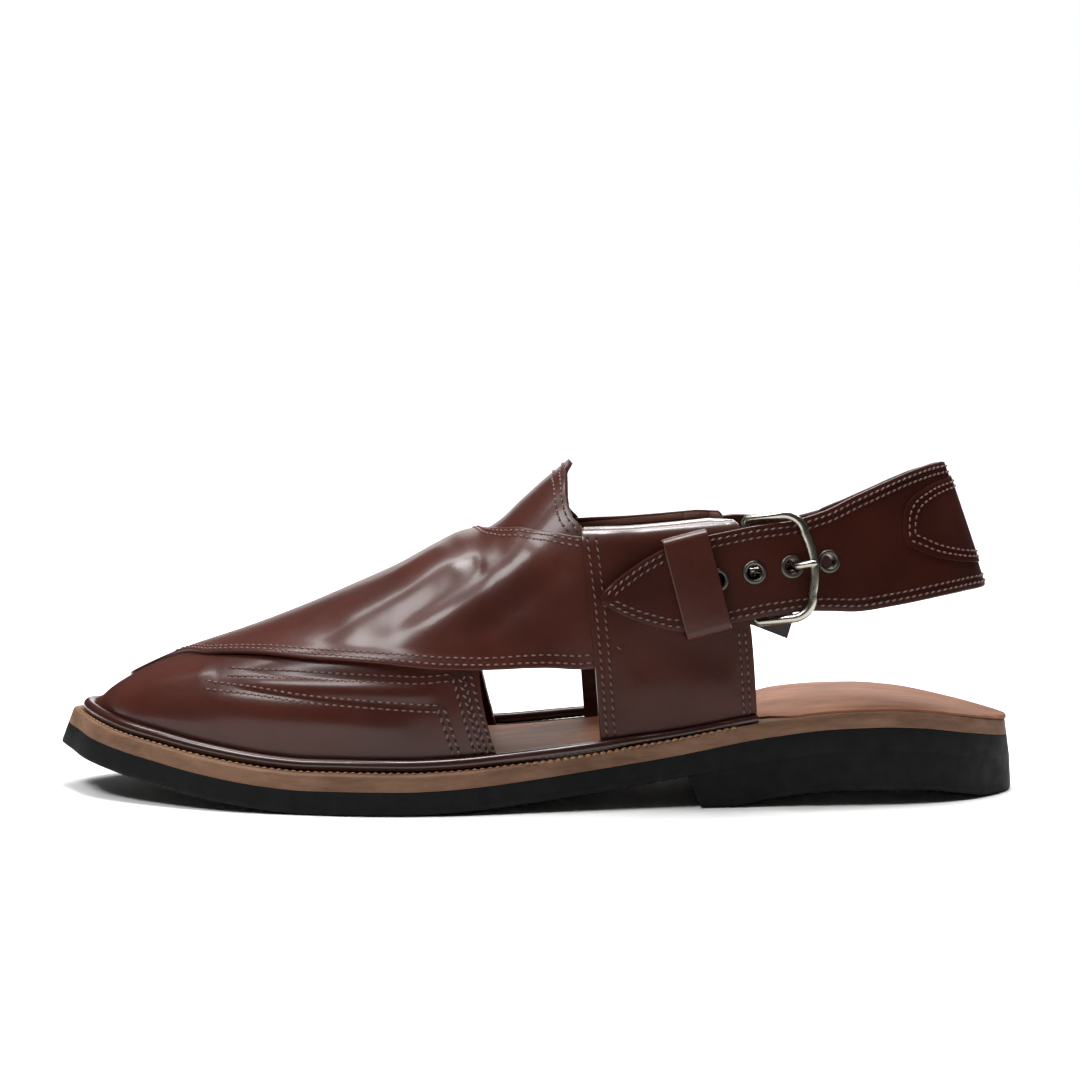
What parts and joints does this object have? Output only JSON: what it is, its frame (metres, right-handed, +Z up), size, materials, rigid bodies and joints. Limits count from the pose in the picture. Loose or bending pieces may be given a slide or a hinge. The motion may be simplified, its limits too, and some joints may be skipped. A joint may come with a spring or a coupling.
{
  "type": "peshawari chappal",
  "caption": "Closed-toe leather sling-back sandal with a crossing vamp band, open side windows, a buckled heel strap and a low heel.",
  "frame": {"origin": "on the floor, under the middle of the sole's length and width", "axes": "+X from toe to heel, -Y to the outer side of the foot, +Z up"},
  "size_m": [0.2927, 0.1, 0.102],
  "materials": {
    "outsole": "matte",
    "heel": "matte",
    "midsole": "satin",
    "insole": "satin",
    "rand": "polished",
    "upper": "polished",
    "heel_strap": "polished",
    "heel_patch": "polished",
    "keeper_loop": "polished",
    "buckle_chape": "satin",
    "buckle_guard": "satin",
    "buckle_frame": "antique nickel",
    "buckle_prong": "antique nickel",
    "eyelet_1": "gunmetal",
    "eyelet_2": "gunmetal",
    "eyelet_3": "gunmetal",
    "eyelet_4": "gunmetal"
  },
  "bodies": {
    "root": {"outsole": "outsole", "heel": "heel", "midsole": "midsole", "insole": "insole", "rand": "rand", "upper": "upper", "heel_strap": "heel_strap", "heel_patch": "heel_patch", "keeper_loop": "keeper_loop", "buckle_chape": "buckle_chape", "buckle_guard": "buckle_guard", "buckle_frame": "buckle_frame", "buckle_prong": "buckle_prong", "eyelet_1": "eyelet_1", "eyelet_2": "eyelet_2", "eyelet_3": "eyelet_3", "eyelet_4": "eyelet_4"}
  },
  "joints": []
}
